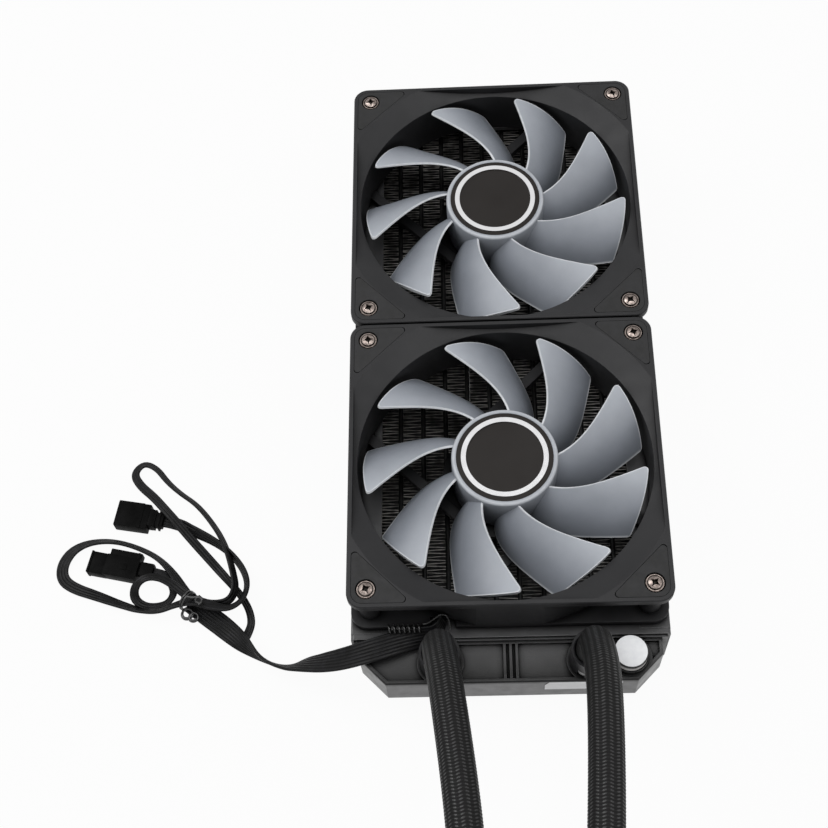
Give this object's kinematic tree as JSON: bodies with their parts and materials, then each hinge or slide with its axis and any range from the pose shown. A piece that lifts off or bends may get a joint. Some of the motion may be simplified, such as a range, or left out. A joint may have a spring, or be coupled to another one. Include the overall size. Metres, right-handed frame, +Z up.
{
  "type": "cpu liquid cooler",
  "caption": "All in one liquid cooler: slim radiator with fans side by side, braided hoses, pump head and flat fan leads.",
  "frame": {"origin": "centre of the radiator's underside, which is the face that is screwed to the case", "axes": "+Y along the radiator away from the hoses, +Z up through the fans, +X to the right seen from the hose end"},
  "size_m": [0.244, 0.6427, 0.1018],
  "materials": {
    "radiator_paint": "satin black paint",
    "core_paint": "thin black paint on aluminium",
    "bright_metal": "machined, bright",
    "collar": "black, slightly glossy",
    "black_plastic": "fine matt",
    "seal_paper": "plain white, matt",
    "frame_plastic": "fine grain, matt",
    "soft_rubber": "matt",
    "screw_steel": "dark nickel plate",
    "bearing_bronze": "sintered, oiled",
    "plain_steel": "plain",
    "board": "green lacquer",
    "frosted_plastic": "frosted, lets some light through",
    "gloss_cover": "smooth satin black",
    "magnet_ferrite": "sintered, dull",
    "copper": "lapped copper",
    "bracket_paint": "black powder coat",
    "hose_braid": "tight black braid over rubber",
    "lead_cover": "flat wires side by side, half matt",
    "tie_cover": "plastic covered wire, glossy"
  },
  "bodies": {
    "cooler": {"tubes": "core_paint", "fins": "core_paint", "side_plate_left": "radiator_paint", "side_plate_right": "radiator_paint", "header_front": "radiator_paint", "header_rear": "radiator_paint", "end_tank_front": "radiator_paint", "end_tank_rear": "radiator_paint", "barb_left": "bright_metal", "barb_right": "bright_metal", "ferrule_left": "collar", "ferrule_right": "collar", "fill_plug": "black_plastic", "fill_seal": "seal_paper", "fan_frame_front": "frame_plastic", "corner_pads_front": "soft_rubber", "fan_screws_front": "screw_steel", "bearing_front": "bearing_bronze", "stator_front": "plain_steel", "circuit_board_front": "board", "fan_frame_rear": "frame_plastic", "corner_pads_rear": "soft_rubber", "fan_screws_rear": "screw_steel", "bearing_rear": "bearing_bronze", "stator_rear": "plain_steel", "circuit_board_rear": "board", "pump_housing": "black_plastic", "pump_cover": "gloss_cover", "cold_plate": "copper", "cold_plate_gasket": "soft_rubber", "cold_plate_screws": "screw_steel", "pump_shaft": "plain_steel", "pump_stator": "plain_steel", "pump_bracket": "bracket_paint", "pump_barbs": "bright_metal", "pump_ferrules": "collar", "hose_left": "hose_braid", "hose_right": "hose_braid", "fan_lead": "lead_cover", "speed_lead": "lead_cover", "light_lead": "lead_cover", "speed_plug": "black_plastic", "light_plug": "black_plastic", "lead_tie": "tie_cover", "coil_tie": "tie_cover"},
    "rotor_front": {"rotor_front": "frosted_plastic", "hub_cap_front": "gloss_cover", "hub_ring_front": "bright_metal", "yoke_front": "plain_steel", "magnet_front": "magnet_ferrite", "shaft_front": "plain_steel"},
    "rotor_rear": {"rotor_rear": "frosted_plastic", "hub_cap_rear": "gloss_cover", "hub_ring_rear": "bright_metal", "yoke_rear": "plain_steel", "magnet_rear": "magnet_ferrite", "shaft_rear": "plain_steel"},
    "impeller": {"pump_rotor": "magnet_ferrite"}
  },
  "joints": [
    {"name": "fan_front_spin", "type": "hinge", "parent": "cooler", "child": "rotor_front", "pos_m": [0, -0.06, 0.04], "axis": [0, 0, 1], "continuous": true},
    {"name": "fan_rear_spin", "type": "hinge", "parent": "cooler", "child": "rotor_rear", "pos_m": [0, 0.06, 0.04], "axis": [0, 0, 1], "continuous": true},
    {"name": "pump_rotor_spin", "type": "hinge", "parent": "cooler", "child": "impeller", "pos_m": [0, -0.46, 0.014], "axis": [0, 0, 1], "continuous": true}
  ]
}
